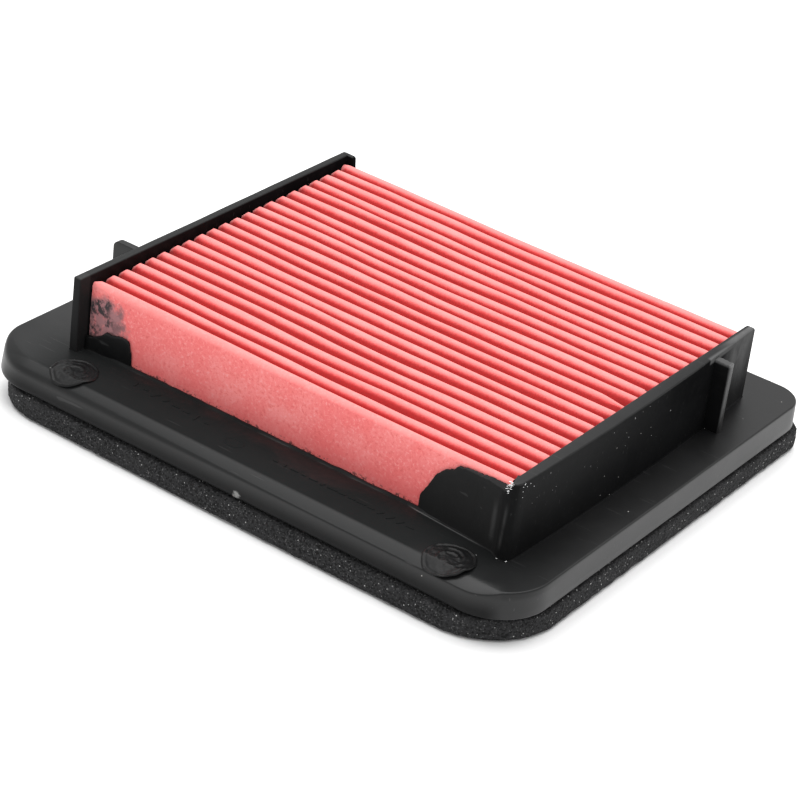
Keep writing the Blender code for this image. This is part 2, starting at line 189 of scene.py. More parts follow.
class Nodes:
    # a node tree with short words for what the pieces need
    def __init__(self, tree):
        self.tree = tree

    def feed(self, socket, value):
        if isinstance(value, bpy.types.NodeSocket):
            self.tree.links.new(value, socket)
        else:
            socket.default_value = value

    def put(self, kind, inputs=None, **settings):
        item = self.tree.nodes.new(kind)
        for key, value in settings.items():
            setattr(item, key, value)
        for key, value in (inputs or {}).items():
            self.feed(item.inputs[key], value)
        return item.outputs

    def shape(self, kind, **inputs):
        # a geometry node's first output; inputs are named as in Blender, without their spaces
        item = self.tree.nodes.new("GeometryNode" + kind)
        sockets = {socket.name.replace(" ", ""): socket for socket in item.inputs}
        for key, value in inputs.items():
            self.feed(sockets[key], value)
        return item.outputs[0]

    def calc(self, operation, *values):
        return self.put("ShaderNodeMath", dict(enumerate(values)), operation=operation)[0]

    def plus(self, a, b):
        return self.calc("ADD", a, b)

    def minus(self, a, b):
        return self.calc("SUBTRACT", a, b)

    def scaled(self, a, factor, shift):
        return self.calc("MULTIPLY_ADD", a, factor, shift)

    def times(self, value, *others):
        for other in others:
            value = self.calc("MULTIPLY", value, other)
        return value

    def vectorMath(self, operation, *values):
        return self.put("ShaderNodeVectorMath", dict(enumerate(values)), operation=operation)

    def split(self, vector):
        return list(self.put("ShaderNodeSeparateXYZ", {0: vector}))

    def inMm(self, coords):
        return self.split(self.vectorMath("MULTIPLY", coords, (1 / mm,) * 3)[0])

    def remap(self, value, fromLow, fromHigh, toLow=0.0, toHigh=1.0, kind="SMOOTHSTEP"):
        return self.put("ShaderNodeMapRange", {"Value": value, "From Min": fromLow, "From Max": fromHigh,
                                               "To Min": toLow, "To Max": toHigh}, interpolation_type=kind)[0]

    def fades(self, *rows):
        # the product of several ranges, each (value, from, to, first, last)
        return self.times(*(self.remap(*row) for row in rows))

    def noise(self, vector, scale, detail=3.0, roughness=0.5, distortion=0.0):
        return self.put("ShaderNodeTexNoise", {"Vector": vector, "Scale": scale, "Detail": detail,
                                               "Roughness": roughness, "Distortion": distortion})["Fac"]

    def cells(self, vector, scale):
        # distance from the nearest of scattered points, and a random value for each
        cell = self.put("ShaderNodeTexVoronoi", {"Vector": vector, "Scale": scale})
        return cell["Distance"], self.put("ShaderNodeSeparateColor", {"Color": cell["Color"]})[0]

    def stretched(self, vector, scale, turn=(0, 0, 0)):
        return self.put("ShaderNodeMapping", {"Vector": vector, "Scale": scale,
                                              "Rotation": tuple(math.radians(v) for v in turn)})[0]

    def away(self, coords, spot):
        # distance from a spot in millimetres
        return self.times(self.vectorMath("DISTANCE", coords, metres(spot))["Value"], 1 / mm)

    def blend(self, factor, a, b):
        # colours are sockets, (red, green, blue) or one number for a grey
        a, b = ((v, v, v) if isinstance(v, float) else v for v in (a, b))
        a, b = ((*v, 1.0) if isinstance(v, tuple) else v for v in (a, b))
        return self.put("ShaderNodeMix", {0: factor, 6: a, 7: b}, data_type="RGBA")[2]

    def bump(self, height, depth, strength, below=None):
        inputs = {"Height": height, "Distance": depth * mm, "Strength": strength}
        if below is not None:
            inputs["Normal"] = below
        return self.put("ShaderNodeBump", inputs)["Normal"]

    def surface(self, **values):
        names = {"colour": "Base Color", "rough": "Roughness", "gloss": "Specular IOR Level",
                 "relief": "Normal"}
        for key, value in values.items():
            self.feed(self.tree.nodes["Principled BSDF"].inputs[names.get(key, key)], value)


def newMaterial(name):
    material = bpy.data.materials.new(name)
    material.use_nodes = True
    n = Nodes(material.node_tree)
    return material, n, n.put("ShaderNodeTexCoord")["Object"]


def newTree(name, sockets):
    # a geometry tree with a Geometry input and output and the named inputs
    tree = bpy.data.node_groups.new(name, "GeometryNodeTree")
    tree.is_modifier = True
    tree.interface.new_socket("Geometry", in_out="INPUT", socket_type="NodeSocketGeometry")
    for kind, names in sockets.items():
        for socketName in names:
            tree.interface.new_socket(socketName, in_out="INPUT", socket_type="NodeSocket" + kind)
    tree.interface.new_socket("Material", in_out="INPUT", socket_type="NodeSocketMaterial")
    tree.interface.new_socket("Geometry", in_out="OUTPUT", socket_type="NodeSocketGeometry")
    n = Nodes(tree)
    return n, n.put("NodeGroupInput")


def closeTree(n, shape, material, smooth=True):
    shape = n.shape("RealizeInstances", Geometry=shape)
    if smooth:
        shape = n.shape("SetShadeSmooth", Geometry=shape)
    shape = n.shape("SetMaterial", Geometry=shape, Material=material)
    n.put("NodeGroupOutput", {0: shape})
    return n


# black plastic, in three finishes

plasticLooks = {
    "flange": {
        "colour": (0.0040, 0.0041, 0.0043), "paleColour": (0.0065, 0.0066, 0.0068), "rough": 0.36,
        "cloudy": 0.12, "grain": 0.55, "flow": 0.35, "haze": 0.01, "dustScale": 300, "dustShare": 0.05,
        "gloss": 0.38, "frontWear": 0.37, "skirtDulling": -0.72, "ridge": (52.0, -63.6, 0.075),
        "scuff": (3.0, -85.0, 10.2)},
    "wall": {
        "colour": (0.0045, 0.0046, 0.0048), "paleColour": (0.0075, 0.0076, 0.0079), "rough": 0.42,
        "cloudy": 0.14, "grain": 0.6, "flow": 0.8, "haze": 0.015, "dustScale": 330, "dustShare": 0.10,
        "gloss": 0.035, "edgeGloss": 0.22, "tipGloss": 0.5, "endHaze": 0.42, "frontPale": 0.20,
        # painted highlight streaks down the moulded corner's rounding: x at the foot, lean, y, from and to
        # height
        "folds": ((82.75, 0.054, -66.9, 20.5, 38.0), (79.0, 0.0, -65.0, 21.0, 36.0))},
    "flash": {
        "colour": (0.0045, 0.0046, 0.0048), "paleColour": (0.0090, 0.0091, 0.0094), "rough": 0.38,
        "cloudy": 0.2, "grain": 0.5, "flow": 1.1, "haze": 0.02, "dustScale": 360, "dustShare": 0.08,
        "gloss": 0.17},
}


def frontOfPlate(n, look, tone, cloud, place):
    x, y, z = place
    # the front of the plate is paler grey and less glossy
    patchy = n.fades((n.scaled(n.minus(cloud, 0.5), 30, y), -70, -50, 1, 0), (z, 15, 16.5),
                   (x, 60, 90, 1, 0.35), (x, -95, -70, 0.35, 1), (y, -81.4, -80.4, 0.45, 1))
    tone = n.blend(n.times(patchy, look["frontWear"]), tone, (0.031, 0.033, 0.033))
    # the skirt dulls towards its foot, where the mould was parted
    under = n.fades((z, 10, 16.2, 1, 0), (y, -83.5, -80, 1, 0))
    gloss = n.times(n.scaled(patchy, -look["gloss"], look["gloss"]), n.scaled(under, look["skirtDulling"], 1.0))
    # a painted highlight: a pale line along the foot of the large flash, where a fine tool ridge catches the
    # light
    highlightX, highlightY, lean = look["ridge"]
    line = n.calc("ABSOLUTE", n.scaled(n.minus(x, highlightX), lean, n.minus(y, highlightY)))
    line = n.fades((line, 0.1, 0.3, 1, 0), (x, 48, 53), (x, 70, 79, 1, 0), (z, 17.2, 17.6))
    return n.blend(n.times(line, 0.6), tone, 0.15), gloss


def wallLightAndWear(n, look, tone, coords, place):
    x, y, z = place
    # painted light, mixed with a streaky scuffed haze, on the wall beyond its gusset and on the gusset's top
    streak = n.noise(n.stretched(coords, (160, 210, 110), (25, 0, 0)), 1.0, 4, 0.6, 0.5)
    beyond = n.fades((y, 44, 58), (x, 83.8, 84.6), (z, 20.5, 40, 0.15, 1), (streak, 0.25, 0.75, 0.55, 1))
    ribTop = n.fades((z, wallTop - 2.4, wallTop - 1.5), (x, 85.3, 86.5, 0, 0.8), (y, 38, 39))
    tone = n.blend(n.times(n.calc("MAXIMUM", beyond, ribTop), look["endHaze"]), tone, 0.24)
    # painted highlight: pale streaks down the rounded front corner
    for streakX, lean, streakY, low, high in look["folds"]:
        line = n.calc("ABSOLUTE", n.minus(x, n.scaled(z, lean, streakX - 20.5 * lean)))
        line = n.fades((line, 0, 1.25, 1, 0), (y, streakY - 0.3, streakY + 0.3, 1, 0), (z, low - 1, low + 3),
                       (z, high - 6, high, 1, 0), (streak, 0.3, 0.6, 0.2, 1))
        tone = n.blend(n.times(line, 0.22), tone, 0.13)
    # painted light: the flash's front is painted paler, and the gusset's tip and the upper edge are polished
    front = n.fades((y, windowFront - 0.6, windowFront - 0.2, 1, 0), (x, 79.5, 84.6, 1, 0.12))
    tone = n.blend(n.times(front, look["frontPale"]), tone, 0.06)
    tip = n.remap(x, gussetTip - 0.7, gussetTip - 0.2, 0, look["tipGloss"])
    gloss = n.plus(n.remap(y, -60, 30, look["gloss"], 0), tip)
    return tone, n.scaled(n.remap(z, wallTop - 0.6, wallTop - 0.2), look["edgeGloss"], gloss)


def blackPlastic(finish):
    # moulded polypropylene: fine grain, cloudy gloss, flow marks, scratches and dust
    look = plasticLooks[finish]
    material, n, coords = newMaterial(finish + "Plastic")
    place = n.inMm(coords)
    cloud = n.noise(coords, 38, 4, 0.6, 0.4)
    flow = n.noise(n.stretched(coords, (14, 60, 60), (0, 0, 12)), 1.0, 4, 0.55, 1.2)
    scratch = n.remap(n.noise(n.stretched(coords, (60, 1500, 400), (0, 0, 27)), 1.0, 2), 0.70, 0.74)
    distance, lottery = n.cells(coords, look["dustScale"])
    share = look["dustShare"]
    dust = n.fades((distance, 0.03, 0.075, 1, 0), (lottery, 1 - share, 1 - 0.7 * share))
    tone = n.blend(n.remap(cloud, 0.3, 0.75), look["colour"], look["paleColour"])
    haze = n.remap(n.noise(coords, 420, 5, 0.7), 0.45, 0.8, 0, look["haze"])
    tone = n.blend(haze, tone, (0.16, 0.155, 0.15))
    tone = n.blend(n.times(scratch, 0.2), tone, 0.10)
    tone = n.blend(dust, tone, (0.42, 0.41, 0.39))
    gloss = look["gloss"]
    if "frontWear" in look:
        tone, gloss = frontOfPlate(n, look, tone, cloud, place)
    if "endHaze" in look:
        tone, gloss = wallLightAndWear(n, look, tone, coords, place)
    # a pale ragged spot on the skirt near its foot
    if "scuff" in look:
        ragged = n.scaled(n.noise(coords, 900), 2.2, n.away(coords, look["scuff"]))
        tone = n.blend(n.remap(ragged, 1.7, 2.6, 0.9, 0), tone, (0.24, 0.24, 0.235))
    rough = n.scaled(cloud, look["cloudy"], look["rough"] - 0.5 * look["cloudy"])
    relief = n.bump(n.noise(coords, 2300, 3, 0.6), 0.02, look["grain"])
    relief = n.bump(scratch, -0.02, 0.5, n.bump(flow, 0.12, look["flow"], relief))
    n.surface(colour=tone, rough=n.scaled(dust, 0.3, rough), relief=relief, gloss=gloss)
    return material


flangePlastic, wallPlastic, flashPlastic = (blackPlastic(finish) for finish in plasticLooks)
print("materials: black plastic")


# flange, skirt and the rim under it

def roundedLoop(low, high, frontRadius, backRadius, sideSteps, cornerSteps):
    # counter-clockwise from the front left corner's end; gives points and outward directions
    corners = ((high[0] - frontRadius, low[1] + frontRadius, frontRadius, -90),
               (high[0] - backRadius, high[1] - backRadius, backRadius, 0),
               (low[0] + backRadius, high[1] - backRadius, backRadius, 90),
               (low[0] + frontRadius, low[1] + frontRadius, frontRadius, 180))
    arcs = []
    for x, y, radius, start in corners:
        angles = [math.radians(start + 90 * k / cornerSteps) for k in range(cornerSteps + 1)]
        arcs.append([(x + radius * math.cos(a), y + radius * math.sin(a), a) for a in angles])
    points, outward = [], []
    for side in range(4):
        begin, finish = arcs[side - 1][-1], arcs[side][0]
        for k in range(1, sideSteps):
            points.append([mix(begin[axis], finish[axis], k / sideSteps) for axis in (0, 1)])
            outward.append(math.radians(-90 + 90 * side))
        for x, y, angle in arcs[side]:
            points.append([x, y])
            outward.append(angle)
    return np.array(points), np.array([(math.cos(a), math.sin(a)) for a in outward])


flange = {
    "frontRadius": 18.0, "backRadius": 10.0, "sideSteps": 56, "cornerSteps": 16,
    "plate": 2.5, "skirt": 2.5, "rim": 2.5,
    "chamfer": 4.2, "chamferDrop": 2.2, "leastCut": 0.4, "softEdge": 1.5, "crispEdge": 0.35, "edge": 0.55,
    "flare": 0.25, "leftFlare": 0.75, "curl": 0.8, "flatFrom": 5.6,
    "lipWidth": 0.9, "lipHeight": 0.95, "sink": 0.10, "wobble": 0.12,
}


def windowLoop(margin):
    radius = 0.3 + max(margin, 0.0)
    return roundedLoop((leftInner - margin, windowFront - margin), (rightInner + margin, windowBack + margin),
                       radius, radius, flange["sideSteps"], flange["cornerSteps"])[0]


def chamferWidths(points, outward):
    # the cut is straight towards the right corner and runs round the left one
    crease = flangeLow[1] + flange["chamfer"]
    widths = []
    for (x, y), (nx, ny) in zip(points, outward):
        if x > -flangeHigh[0] + flange["frontRadius"]:
            widths.append((crease - y) / -ny if ny < -0.05 and y < crease else 0.0)
        else:
            widths.append(flange["chamfer"] * smoothStep(-ny, 0.05, 0.95) if ny < 0 else 0.0)
    return np.array(widths)


def plateHeight(y):
    # upper face of the flange, chamfer included
    crease = flangeLow[1] + flange["chamfer"]
    return plateTop - flange["chamferDrop"] * max(crease - y, 0.0) / flange["chamfer"]


def buildFlange():
    outline, outward = roundedLoop(flangeLow, flangeHigh, flange["frontRadius"], flange["backRadius"],
                                   flange["sideSteps"], flange["cornerSteps"])
    count = len(outline)
    width = chamferWidths(outline, outward)
    drop = flange["chamferDrop"] * width / flange["chamfer"]
    isCut = width > flange["leastCut"]
    across = outline[:, 0]
    lower = mix(flange["softEdge"], flange["crispEdge"], np.array([smoothStep(x, -70, 40) for x in across]))
    lower = np.where(isCut, lower, flange["edge"])
    lower = np.minimum(lower, np.maximum(width * 0.45, flange["edge"]))
    flare = mix(flange["leftFlare"], flange["flare"], np.array([smoothStep(x, -100, -80) for x in across]))
    rings = []

    def ring(plan, height, rough=0.0, scale=0.05):
        heights = np.broadcast_to(height, (count,))
        rings.append([(x, y, z + rough * wave(x, y, 0, scale)) for (x, y), z in zip(plan, heights)])

    def inset(amount):
        return outline - outward * np.broadcast_to(amount, (count,))[:, None]

    # skirt, from its foot up to the edge of the plate
    foot, curl = skirtFoot, flange["curl"]
    ring(inset(flange["skirt"] - 0.5 - flare), foot)
    for s, c in turns(0, 22, 45, 68):
        ring(inset(curl * (1 - s) - flare), foot + curl * (1 - c))
    top = plateTop - drop - lower
    wobble = np.array([flange["wobble"] * wave(x, y, 12, 0.045, 3.0) for x, y in outline])
    for t in (0.0, 0.25, 0.5, 0.75, 0.93, 1.0):
        ring(inset(-flare * (1 - t) + wobble * (1 - t) * t * 4), mix(foot + curl, top, t))
    # rounded edge, then the chamfer and the flat plate
    cut = np.where(isCut, drop / np.maximum(width, flange["leastCut"]), 0.0)
    for s, c in turns(30, 60, 85):
        ring(inset(lower * (1 - c)), top + lower * s + cut * lower * (1 - c))
    near = np.maximum(width - 0.35, lower * 1.15)
    for amount in (mix(lower * 1.05, near, 0.5), near):
        ring(inset(amount), plateTop - np.maximum(width - amount, 0) * cut)
    ring(inset(np.maximum(width + 0.35, lower * 1.6)), plateTop)
    flat = inset(np.maximum(width + 1.2, flange["flatFrom"]))
    ring(flat, plateTop, flange["sink"], 0.03)
    lip = flange["lipWidth"]
    shore = windowLoop(lip + 0.75)
    for t in (0.2, 0.4, 0.6, 0.8, 0.93, 1.0):
        ring(mix(flat, shore, t), plateTop, flange["sink"] * (1 - t * t), 0.03)
    # raised lip round the paper's foot
    crest = np.array([plateTop + flange["lipHeight"] * (0.78 + 0.34 * wave(x, y, 0, 0.35, 7)
                                                        + 0.18 * wave(x, y, 0, 1.3, 2)) for x, y in shore])
    ring(windowLoop(lip + 0.25), plateTop + 0.12)
    for margin, t in ((lip, 0.55), (lip * 0.78, 0.95), (lip * 0.45, 1.0), (0.1, 0.9), (0.0, 0.4)):
        ring(windowLoop(margin), mix(plateTop, crest, t))
    # window, rim, channel and the inside of the skirt
    rim, skirt = flange["rim"], flange["skirt"]
    ceiling = plateTop - flange["plate"]
    for margin, z in ((0.0, plateTop - 1), (0.0, mix(foot, plateTop, 0.5)), (0.0, foot + 0.4), (0.3, foot),
                      (rim - 0.3, foot), (rim, foot + 0.3), (rim, mix(foot, ceiling, 0.5)),
                      (rim, ceiling - 0.3), (rim + 0.3, ceiling)):
        ring(windowLoop(margin), z)
    ring(mix(windowLoop(rim + 0.3), inset(skirt + 0.5), 0.5), ceiling)
    for amount, z in ((skirt + 0.5, ceiling), (skirt, ceiling - 0.5), (skirt, mix(foot, ceiling, 0.5)),
                      (skirt, foot + 0.3)):
        ring(inset(amount), z)
    return meshPiece("flangeShell", *loft(rings), flangePlastic, 32)


flangeShell = buildFlange()
print("flange shell:", len(flangeShell.data.polygons), "faces")


# end walls, each with the flash that grew round the paper's corner, gussets and small flashes

wall = {
    "edge": 0.45, "fillet": 0.3, "rows": 10, "ripple": 0.10, "lean": 0.0, "nose": 2.2, "sunk": 0.35,
    "leftThickness": 2.8, "rightFront": 3.2, "rightMiddle": 4.4, "rightBack": 2.5,
}


def rightThickness(y):
    # a parabola through the thicknesses at the front, the middle and the back
    t = (y - rightLow[1]) / (rightHigh[1] - rightLow[1])
    return (wall["rightFront"] * (1 - t) * (1 - 2 * t) + wall["rightMiddle"] * 4 * t * (1 - t)
            + wall["rightBack"] * t * (2 * t - 1))


def wallProfile(thick, top, corner, shape):
    # round one station, as (distance from the inner face, height)
    foot, rows = plateTop, shape["rows"]
    radius = max(min(shape["edge"] * corner, thick * 0.45, (top - foot) * 0.4), 0.01)
    fillet = min(shape["fillet"], (top - foot) * 0.5)
    shoulder = top - radius
    profile = [(0.0, foot - shape["sunk"]), (thick + fillet, foot - shape["sunk"]), (thick + fillet, foot)]
    profile += [(thick + fillet * (1 - s), foot + fillet * (1 - c)) for s, c in turns(25, 50, 75, 90)]
    profile += [(thick, mix(foot + fillet, shoulder, k / rows)) for k in range(1, rows)]
    profile += [(thick - radius * (1 - c), top - radius * (1 - s)) for s, c in turns(0, 30, 60, 90)]
    profile.append((mix(radius, thick - radius, 0.5), top))
    profile += [(radius * (1 - c), top - radius * (1 - s)) for s, c in turns(90, 60, 30, 0)]
    return profile + [(0.0, mix(foot, shoulder, k / rows)) for k in range(rows - 1, 0, -1)]


def sweepWall(name, stations, shape, material, seed):
    # each station is (inner point, outer point, top height, edge radius factor)
    rings = []
    for inner, outer, top, corner in stations:
        across = Vector(outer) - Vector(inner)
        thick = max(across.length, 0.05)
        across.normalize()
        loop = []
        for away, z in wallProfile(thick, top, corner, shape):
            x, y = inner[0] + across.x * away, inner[1] + across.y * away
            push = 0.0
            if away > thick * 0.5:
                push = (shape["ripple"] * wave(x, y, z * 0.6, 0.08, seed)
                        + shape["lean"] * (1 - smoothStep(z, plateTop, wallTop)))
            loop.append((x + across.x * push, y + across.y * push, z))
        rings.append(loop)
    return meshPiece(name, *loft(rings, False, True), material, 38)


def straightStations(innerX, outerX, yFrom, yTo, steps, top, bevel):
    # a straight run along Y whose free end at yTo is rounded
    side = 1 if yTo > yFrom else -1
    out = 1 if outerX(yTo) > innerX else -1
    stations = []
    for k in range(steps + 1):
        y = mix(yFrom, yTo - side * bevel, k / steps)
        stations.append(((innerX, y), (outerX(y), y), top(y), 1.0))
    for back in (0.8, 0.6, 0.42, 0.28, 0.16, 0.07, 0.0):
        y = yTo - side * bevel * back
        shrink = out * roundDrop(0.5, bevel * back)
        stations.append(((innerX + shrink, y), (outerX(y) - shrink, y),
                         top(y) - 0.9 * roundDrop(bevel, bevel * back), 1.0))
    return stations


# ragged flashes: (distance from the wall, height above the plate), then (distance, thickness)
largeFlash = {
    "skyline": ((0.0, 21.4), (2.0, 21.3), (9.0, 21.3), (14.0, 20.9), (18.0, 20.4), (19.3, 19.9), (20.6, 18.3),
                (23.0, 17.2), (25.0, 15.9), (26.4, 14.2), (27.2, 12.6), (28.2, 10.9), (29.0, 9.2),
                (30.2, 6.6), (30.8, 6.0)),
    "thickness": ((0.0, 5.1), (0.8, 4.9), (2.2, 3.8), (3.6, 2.9), (5.0, 3.0), (9.0, 2.2), (15.0, 1.5),
                  (22.0, 0.9), (30.8, 0.45)),
    "step": 0.40, "raggedness": 0.55,
}
backFlash = dict(largeFlash, thickness=((0.0, 1.8), (10.0, 1.4), (30.8, 0.5)))
smallFlash = {
    "skyline": ((0.0, 4.6), (3.0, 5.0), (6.0, 6.6), (8.0, 8.6), (10.0, 8.3), (13.0, 9.0), (15.5, 9.3),
                (16.8, 8.8), (17.4, 7.5), (17.6, 6.0)),
    "thickness": ((0.0, 1.5), (4.0, 1.1), (10.0, 0.9), (17.6, 0.5)),
    "step": 0.45, "raggedness": 0.30,
}


def flashStations(spec, wallX, side, faceY, facing, start, seed):
    # side is the direction away from the wall, facing the direction away from the paper
    length, lastHeight = spec["skyline"][-1]
    steps = int((length - start) / spec["step"])
    stations = []

    def station(t, thick, top):
        x = wallX + side * t
        stations.append(((x, faceY), (x, faceY + facing * thick), top, 0.6))

    for k in range(steps + 1):
        t = mix(start, length, k / steps)
        rag = spec["raggedness"] * (wave(t, seed, 0, 0.9, seed) + 0.6 * wave(t, seed, 0, 2.3, seed))
        station(t, readCurve(spec["thickness"], t) * (1 + 0.12 * wave(t, 3, 0, 0.5, seed)),
                plateTop + readCurve(spec["skyline"], t) + rag * smoothStep(t, 3.0, 14.0))
    station(length + 0.35, 0.3, plateTop + lastHeight * 0.85)
    station(length + 0.55, 0.15, plateTop + lastHeight * 0.6)
    return stations


def cornerWall(name, innerX, thickness, farY, spec, side, facing, faceY, endY, shape, seed, lip=0.0):
    # an end wall, the rounded nose at its end and the flash that turns round the paper's corner
    out, nose, small = -side, shape["nose"], 0.35
    centreX = innerX + out * (thickness(endY) - nose)
    centreY = endY - facing * nose
    stations = straightStations(innerX, lambda y: innerX + out * thickness(y), centreY, farY, 44,
                                lambda y: wallTop - shape["sagging"](y), shape["bevel"])
    stations.reverse()
    noseSteps = 10
    for k in range(1, noseSteps + 1):
        t = k / noseSteps
        s, c = turns(90 * t)[0]
        fall = 0.3 * smoothStep(t, shape["fallFrom"], 1.0)
        top = wallTop - 0.2 * t if lip else mix(wallTop, plateTop + spec["skyline"][0][1], fall)
        top += 0.35 * wave(k * 0.7, seed, 0, 1.1, seed) * (0.3 if lip else fall)
        stations.append(((innerX - out * small * (1 - c), faceY - facing * small * (1 - s)),
                         (centreX + out * nose * c, centreY + facing * nose * s),
                         min(top, wallTop), 1.0 if t < 0.4 else 0.6))
    reach = abs(centreX - innerX)
    if lip:
        for t in (0.3, 0.6, 0.85, 1.0):
            x = innerX + side * mix(reach, lip, t)
            stations.append(((x, faceY), (x, endY), wallTop - 0.2 - 0.5 * t * t, 0.8))
    stations += flashStations(spec, innerX, side, faceY, facing, (lip or reach) + 0.4, seed)
    return sweepWall(name, stations, shape, wallPlastic, seed)


rightShape = dict(wall, bevel=2.4, fallFrom=0.93, lean=0.25,
                  sagging=lambda y: 0.10 * wave(0, y, 0, 0.05, 4.0) + 0.10)
leftShape = dict(wall, bevel=0.7, nose=1.2, fallFrom=0.5, lean=0.2,
                 sagging=lambda y: 0.08 * wave(0, y, 0, 0.05, 9.0) + 0.08)
thinShape = dict(wall, fillet=0.35, edge=0.35)
wallRight = cornerWall("wallRight", rightInner, rightThickness, rightHigh[1], largeFlash, -1, -1, windowFront,
                       rightLow[1], rightShape, 5.0)
wallLeft = cornerWall("wallLeft", leftInner, lambda y: wall["leftThickness"], leftLow[1], backFlash, 1, 1,
                      windowBack, windowBack + 1.9, leftShape, 11.0, 2.4)
flashFrontLeft, flashBackRight = (
    sweepWall(name, flashStations(smallFlash, wallX, side, faceY, -side, 0.0, seed),
              dict(thinShape, ripple=0.12), flashPlastic, seed)
    for name, wallX, side, faceY, seed in (("flashFrontLeft", leftInner, 1, windowFront, 21.0),
                                           ("flashBackRight", rightInner, -1, windowBack, 27.0)))
print("walls:", len(wallRight.data.polygons), len(wallLeft.data.polygons), "faces")

gussets = {
    "Left": {"root": leftLow[0] + 0.4, "side": -1, "top": 0.1, "corner": 2.4, "raggedness": 0.10,
             "material": flangePlastic},
    "Right": {"root": rightInner + 2.0, "side": 1, "top": 1.2, "corner": 0.5, "raggedness": 0.45,
              "material": wallPlastic},
}


def buildGusset(hand):
    spec = gussets[hand]
    low, high = boxMm("gusset_" + hand.lower())
    reach = abs((low if spec["side"] < 0 else high)[0] - spec["root"])
    steps, edge = 16, 0.4
    stations = []
    for k in range(steps + 1):
        away = reach * (1 - (1 - k / steps) ** 1.6)
        x = spec["root"] + spec["side"] * away
        shrink = roundDrop(edge, reach - away)
        top = wallTop - spec["top"] + spec["raggedness"] * wave(x, 0, 0, 0.8, 3.0)
        top -= roundDrop(spec["corner"], reach - away)
        stations.append(((x, low[1] + shrink), (x, high[1] - shrink), min(top, wallTop - 0.05), 0.8))
    return sweepWall("gusset" + hand, stations, dict(thinShape, ripple=0.05), spec["material"], 31.0)


gussetLeft, gussetRight = (buildGusset(hand) for hand in gussets)
print("gussets")


# gate pads: frozen puddles with a raised rim, curled ridges and one lifted edge

gatePads = {
    "padLeft": {"centre": (-68.6, -77.2), "radius": 7.6, "lift": 0.55, "liftAt": -52, "seed": 3.0},
    "padRight": {"centre": (73.9, -77.9), "radius": 7.9, "lift": 0.9, "liftAt": -38, "seed": 8.0},
}


def padRelief(spec, x, y, t, angle):
    # thickness of the puddle: lumps, two curls and a rim with a groove inside it
    cx, cy = spec["centre"]
    rise = 0.55 + 0.16 * wave(x, y, 0, 0.45, spec["seed"]) + 0.08 * wave(x, y, 0, 1.4, spec["seed"])
    swirl = math.hypot(x - cx, y - cy) - 2.6 - 0.25 * angle
    rise += 0.28 * math.exp(-(swirl / 0.45) ** 2) * smoothStep(math.cos(angle - 2.2), -0.6, 0.2)
    second = math.hypot(x - cx + 0.6, y - cy - 0.4) - 4.7
    rise += 0.18 * math.exp(-(second / 0.4) ** 2) * smoothStep(math.cos(angle - 0.9), -0.2, 0.6)
    for height, at in ((-0.22, 0.86), (0.20, 0.945)):
        rise += height * math.exp(-((t - at) / 0.035) ** 2)
    return rise


def buildPad(name):
    spec = gatePads[name]
    rings, sectors, sunk = 22, 96, 0.06
    cx, cy = spec["centre"]
    upper, lower = [], []
    for j in range(rings + 1):
        t = (j / rings) ** 0.85
        upperRing, lowerRing = [], []
        for k in range(sectors):
            angle = math.tau * k / sectors
            c, s = math.cos(angle), math.sin(angle)
            radius = spec["radius"] * (1 + 0.05 * wave(c, s, 0, 1.1, spec["seed"])
                                       + 0.035 * wave(c, s, 0, 3.1, spec["seed"]))
            x, y = cx + radius * t * c, cy + radius * t * s
            turn = math.cos(angle - math.radians(spec["liftAt"]))
            lift = spec["lift"] * smoothStep(turn, 0.45, 1.0) * smoothStep(t, 0.55, 1.0)
            base = plateHeight(max(y, flangeLow[1] + 0.3)) + lift
            half = 0.5 * padRelief(spec, x, y, t, angle)
            edge = math.sqrt(max(1 - ((t - 0.93) / 0.07) ** 2, 0.0)) if t > 0.93 else 1.0
            foot = -sunk if t < 0.7 else half - half * edge - sunk * (1 - smoothStep(t, 0.7, 0.95))
            upperRing.append((x, y, base + half + half * edge))
            lowerRing.append((x, y, base + foot))
        upper.append(upperRing)
        lower.append(lowerRing)
    # both skins start at the middle and meet at the edge
    return meshPiece(name, *joined(loft(upper, False), loft(lower, False)), flashPlastic, 60)


padLeft, padRight = (buildPad(name) for name in gatePads)
print("gate pads")


# pleated paper: one fold repeated and swept by Geometry Nodes

paperLook = {
    "folds": 22, "pitch": 6.05, "thickness": 0.7, "tipRadius": 1.7, "valleyRadius": 1.4, "columns": 84,
    "wander": 1.75, "leaning": 1.05, "sag": 1.15, "seed": 4.0, "endDrop": 1.8, "endLength": 2.0,
    "endNarrow": 0.34,
    "red": (0.93, 0.215, 0.21), "paleRed": (0.95, 0.28, 0.27), "deepRed": (0.84, 0.12, 0.12),
    "tipRed": (0.95, 0.285, 0.27), "flankRed": (0.70, 0.055, 0.055), "valleyRed": (0.30, 0.02, 0.02),
    "specks": ((80.7, -10.4, 40.3), (80.4, 13.6, 40.3)),
}


